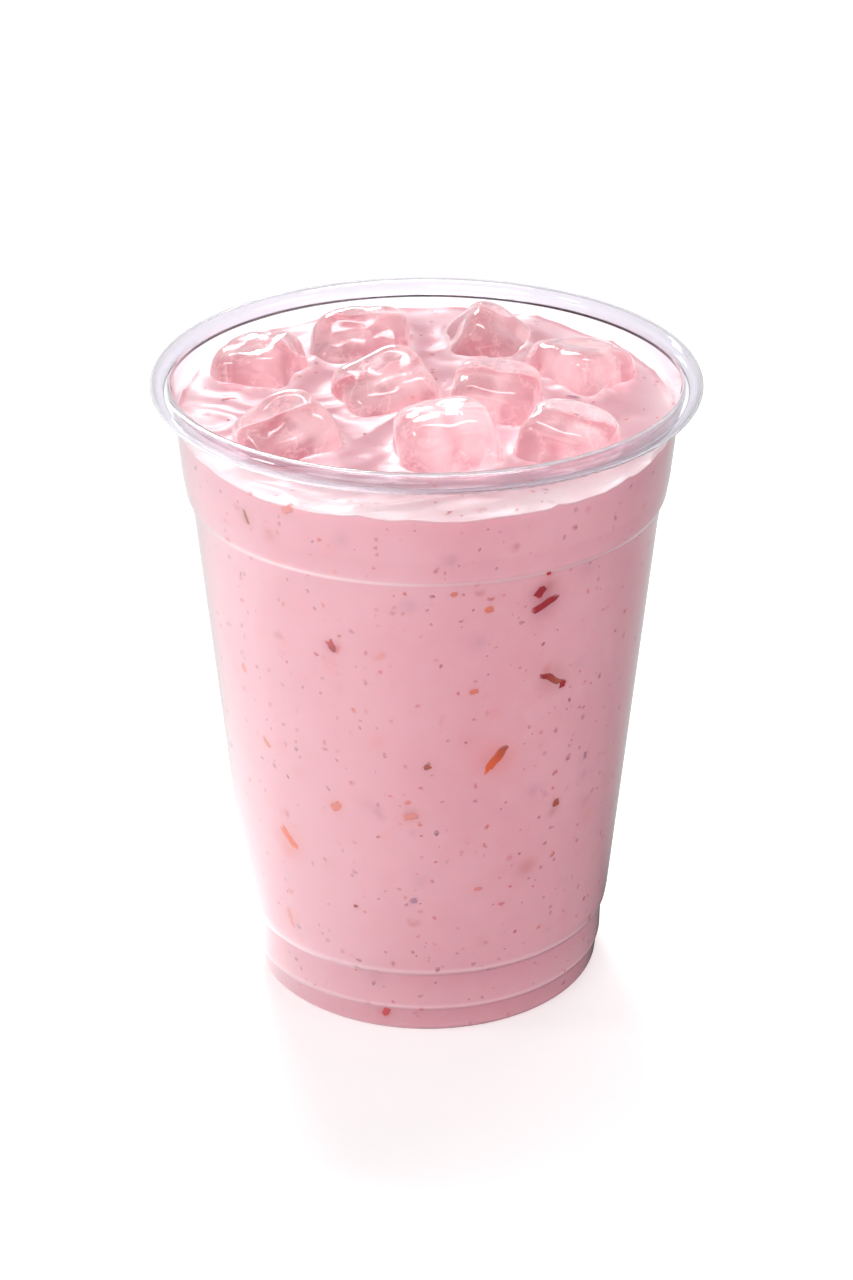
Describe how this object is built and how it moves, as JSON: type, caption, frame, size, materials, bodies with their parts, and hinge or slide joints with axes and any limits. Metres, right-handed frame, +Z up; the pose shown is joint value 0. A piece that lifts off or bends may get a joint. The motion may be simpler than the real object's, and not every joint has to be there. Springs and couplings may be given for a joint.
{
  "type": "iced strawberry milk",
  "caption": "Clear tapered plastic cup with a rolled rim and a stepped foot, filled with pink strawberry milk in which half-melted ice cubes float.",
  "frame": {"origin": "centre of the cup's foot ring, on the surface it stands on", "axes": "+Z up along the cup's axis, -Y towards the viewer, +X to the viewer's right"},
  "size_m": [0.098, 0.098, 0.1186],
  "materials": {
    "clear_plastic": "clear, glossy, thin formed sheet",
    "strawberry_milk": "opaque pink liquid with a wet surface, speckled with fruit",
    "ice": "wet, clear, melted round at its edges"
  },
  "bodies": {
    "root": {"cup": "clear_plastic", "milk": "strawberry_milk", "ice_1": "ice", "ice_2": "ice", "ice_3": "ice", "ice_4": "ice", "ice_5": "ice", "ice_6": "ice", "ice_7": "ice", "ice_8": "ice", "ice_9": "ice"}
  },
  "joints": []
}
